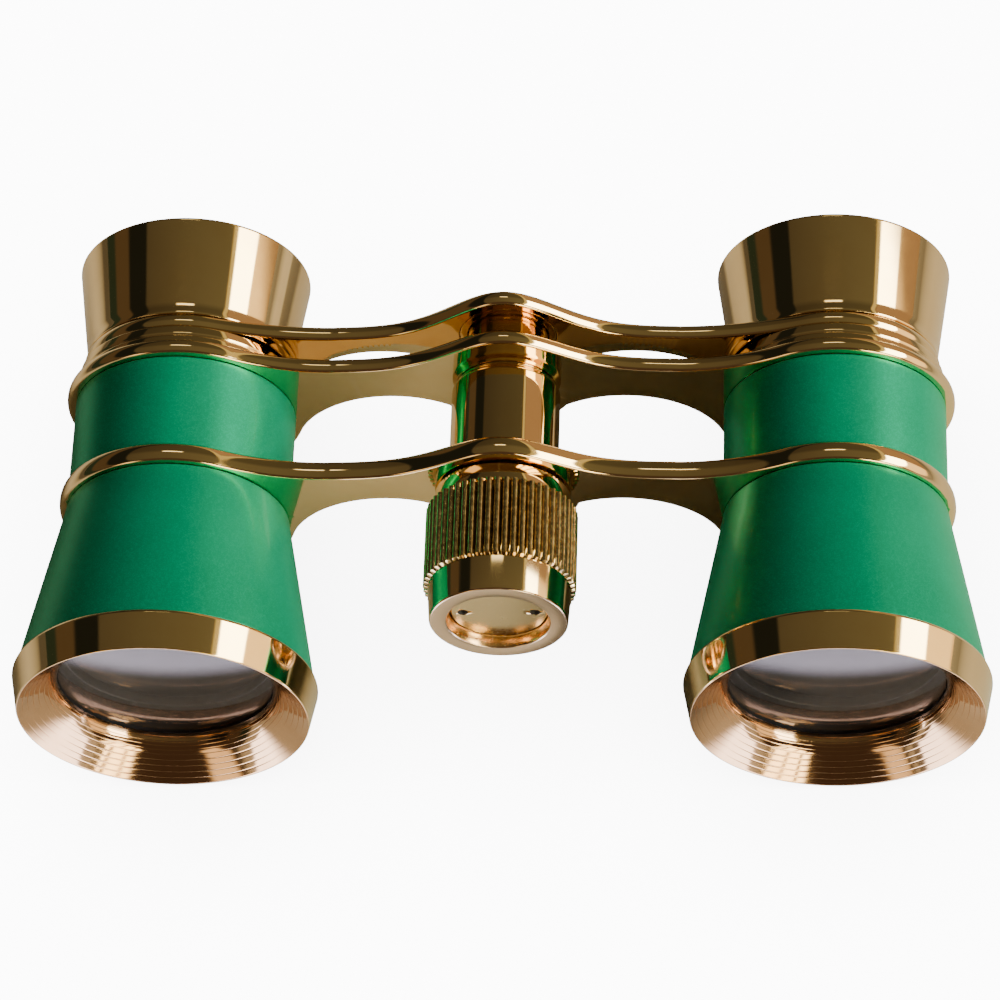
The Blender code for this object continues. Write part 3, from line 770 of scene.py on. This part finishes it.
def focus_rod():
    """The sliding rod: the drive screw runs in its front and the end screw holds it to its bridge."""
    node = "focus_rod"
    front, back = span(node)[0], span("eyepiece_bridge")[0] - SEAM
    outer, bore, bore_end, socket, socket_end = radius(node), 2.7, 38.0, 1.9, 39.0
    profile = plain([(0.0, socket_end), (socket, socket_end), (socket, back), (outer, back), (outer, front),
                     (bore, front), (bore, bore_end), (0.0, bore_end)], GOLD)
    rod = lathe("shown_" + node, soften(profile, 0.12, closed=False), axis(node), FINE_SEGMENTS,
                closed=False)
    install(rod, node, "eyepieces")


def drive():
    focus_knob()
    knob_screw()
    centre_tube()
    focus_rod()
    rod_end_screw()
    tube_piece("rod_bush", "body", 4.4, GOLD, segments=FINE_SEGMENTS)
    for node, finish in (("knob_bush", GOLD), ("focus_screw", STEEL), ("screw_retaining_ring", STEEL)):
        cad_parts[node].data.materials.clear()
        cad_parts[node].data.materials.append(finish)


# ---------------------------------------------------------------- room, floor and camera
PALE = 12.0                   # how bright the plain backdrop is to the eye
BEYOND = 200.0                # past the last turn, so that a wall has one edge


def walls(sky, turn, y):
    """The walls by turn: olive overhead, black, brown and green to the left, brown and gold to the right."""
    black_edge, brown_edge, green_edge = -43.0, -63.0, -80.0
    olive_end, line_start, line_end, tan_edge, low_edge = 44.0, 41.0, 45.5, 46.0, 91.0
    across = sky.between(turn, 0.0, 1.0, black_edge, olive_end)
    olive = sky.blend(across, (0.095, 0.078, 0.046), (0.18, 0.158, 0.085))
    light = sky.blend(sky.between(y, 0.0, 0.45, 0.28, 0.50), olive, (0.02, 0.015, 0.01))

    def wall(start, end, soft, colour):
        return sky.blend(sky.band(turn, start, end, soft), light, colour)

    light = wall(-BEYOND, black_edge, 1.5, (0.014, 0.015, 0.012))
    light = wall(-BEYOND, brown_edge, 2.0, (0.095, 0.065, 0.036))
    light = wall(-BEYOND, green_edge, 2.0, (0.026, 0.040, 0.026))
    light = wall(tan_edge, BEYOND, 2.0, (0.48, 0.30, 0.16))
    light = wall(line_start, line_end, 1.0, (0.85, 0.68, 0.28))
    return wall(low_edge, BEYOND, 2.0, (0.16, 0.13, 0.06))


def panels(sky, light, turn, bearing, y, z):
    """The dim front, and the lit panels: a window beside, a lamp above, a barred pane and a door in front."""
    front = sky.band(y, -2.0, -0.60, 0.12)
    beside = sky.band(y, -0.60, 0.345, 0.012)
    bars_per_degree = 0.15
    bars = sky.band(sky.maths("FRACT", sky.maths("MULTIPLY", bearing, bars_per_degree)), 0.10, 0.88, 0.06)

    def panel(colour, strength, *sides):
        """A panel of light where all its sides meet."""
        mask = sides[0]
        for side in sides[1:]:
            mask = sky.maths("MULTIPLY", mask, side)
        return sky.blend(mask, light, tuple(strength * part for part in colour))

    light = panel((0.075, 0.048, 0.030), 1.0, front)
    light = panel((1.0, 0.72, 0.36), 2.3, sky.band(turn, 64.0, 90.0, 3.0), beside)
    light = panel((1.0, 0.95, 0.74), 15.0, sky.band(turn, 45.5, 66.0, 1.0), beside)
    light = panel((1.0, 0.90, 0.58), 3.5, sky.band(turn, -10.0, 8.0, 1.5), sky.band(y, 0.36, 0.43, 0.012))
    light = panel((1.0, 0.84, 0.50), 11.0,
                  sky.band(bearing, 16.0, 36.0, 1.5), sky.band(z, -0.05, 0.34, 0.03), front, bars)
    return panel((1.0, 0.74, 0.42), 2.2,
                 sky.band(bearing, -36.0, -24.0, 2.0), sky.band(z, 0.0, 0.35, 0.05), front)


def room():
    """A dim warm room that shows in reflections only; to the eye the backdrop is plain.

    A direction's turn is its angle round the Y axis from straight up, positive to the right.  Its bearing
    is its angle from straight ahead of the objectives as a map shows it, positive towards +X.  Both are
    in degrees.
    """
    world = bpy.data.worlds.new("room")
    bpy.context.scene.world = world
    sky = Graph(world)
    parts = sky.add("ShaderNodeSeparateXYZ")
    sky.feed(parts.inputs[0], sky.direction)
    x, y, z = parts.outputs
    turn = sky.maths("DEGREES", sky.maths("ARCTAN2", x, z))
    bearing = sky.maths("DEGREES", sky.maths("ARCTAN2", x, sky.maths("MULTIPLY", y, -1.0)))
    light = panels(sky, walls(sky, turn, y), turn, bearing, y, z)
    seen = sky.add("ShaderNodeLightPath").outputs["Is Camera Ray"]
    sky.feed(sky.tree.nodes["Background"].inputs["Color"], sky.blend(seen, light, (PALE, PALE, PALE)))


def mirrored_floor(look):
    """What reflections see: a pale painted pool of light round the object, a painted shadow right of the
    knob, and a glowing strip in front of each barrel that paints sunlight, though it is no lamp."""
    bright_to, dim_from, dim = 0.10, 0.24, 0.12
    # Painted light: the floor's colour is pale near the object and dims away from it.
    reach = look.add("ShaderNodeVectorMath", operation="LENGTH")
    look.feed(reach.inputs[0], look.place)
    pool = look.between(reach.outputs["Value"], 1.0, dim, bright_to, dim_from)
    parts = look.add("ShaderNodeSeparateXYZ")
    look.feed(parts.inputs[0], look.place)
    x, y = parts.outputs["X"], parts.outputs["Y"]
    # Painted shadow: the pool is darkened just right of the knob, as if cast by the right barrel.
    shaded = look.band(x, 0.002, 0.030, 0.004)
    pool = look.maths("MULTIPLY", pool, look.between(shaded, 1.0, 0.30))
    # Painted sunlight: an emitting strip on the floor in front of each barrel, not a lamp.
    from_barrel = look.maths("SUBTRACT", look.maths("ABSOLUTE", x), BARREL_X * MM)
    sunlit = look.maths("MULTIPLY", look.band(from_barrel, -0.018, 0.018, 0.003),
                        look.band(y, -0.058, -0.0368, 0.0025))
    look.set(Base_Color=look.blend(pool, (0.0, 0.0, 0.0), (0.68, 0.65, 0.63)), Roughness=0.8,
             Emission_Color=(0.95, 0.91, 1.0, 1.0), Emission_Strength=look.maths("MULTIPLY", sunlit, 6.8))
    return look.shader.outputs["BSDF"]


def plain_floor(look):
    """What the eye sees: plain white with a soft contact shade."""
    shade = look.add("ShaderNodeAmbientOcclusion", samples=8)
    shade.inputs["Distance"].default_value = 0.04
    open_sky = look.between(shade.outputs["AO"], 0.0, 1.0, 0.0, 0.9)
    glow = look.add("ShaderNodeEmission")
    look.feed(glow.inputs["Color"], look.blend(open_sky, (0.45, 0.44, 0.45), (1.0, 1.0, 1.0)))
    glow.inputs["Strength"].default_value = PALE
    return glow.outputs["Emission"]


def floor():
    """A wide pale floor just under the object."""
    half_side, drop = 3.0, 0.0001
    work = bmesh.new()
    bmesh.ops.create_grid(work, x_segments=8, y_segments=8, size=half_side / MM)
    ground = finish_mesh("floor", work, [], Vector((0.0, 0.0, CAD_LOW.z - drop)))
    look = Finish("pale_floor")
    choose = look.add("ShaderNodeMixShader")
    look.feed(choose.inputs["Fac"], look.add("ShaderNodeLightPath").outputs["Is Camera Ray"])
    look.feed(choose.inputs[1], mirrored_floor(look))
    look.feed(choose.inputs[2], plain_floor(look))
    look.feed(look.tree.nodes["Material Output"].inputs["Surface"], choose.outputs["Shader"])
    ground.data.materials.append(look.material)


def camera():
    """A long lens above and in front of the objectives, turned and rolled a little."""
    turn, tilt, roll = math.radians(6.94), math.radians(59.24), math.radians(-6.08)
    distance, focal, sensor = 0.46392, 158.33, 36.0
    target = Vector((-0.000369, CAD_LOW.y + 0.024012, BARREL_Z + 0.003867))
    back = Vector((math.sin(turn) * math.cos(tilt), -math.cos(turn) * math.cos(tilt), math.sin(tilt)))
    right = Vector((0, 0, 1)).cross(back).normalized()
    up = back.cross(right)
    rolled = right * math.cos(roll) + up * math.sin(roll)
    data = bpy.data.cameras.new("camera")
    data.lens, data.sensor_width = focal, sensor
    data.clip_start, data.clip_end = 0.01, 20.0
    eye = bpy.data.objects.new("camera", data)
    bpy.context.scene.collection.objects.link(eye)
    facing = Matrix((rolled, back.cross(rolled), back)).transposed()
    eye.matrix_world = Matrix.Translation(target + back * distance) @ facing.to_4x4()
    bpy.context.scene.camera = eye


bridges()
barrels()
drive()
room()
floor()
camera()
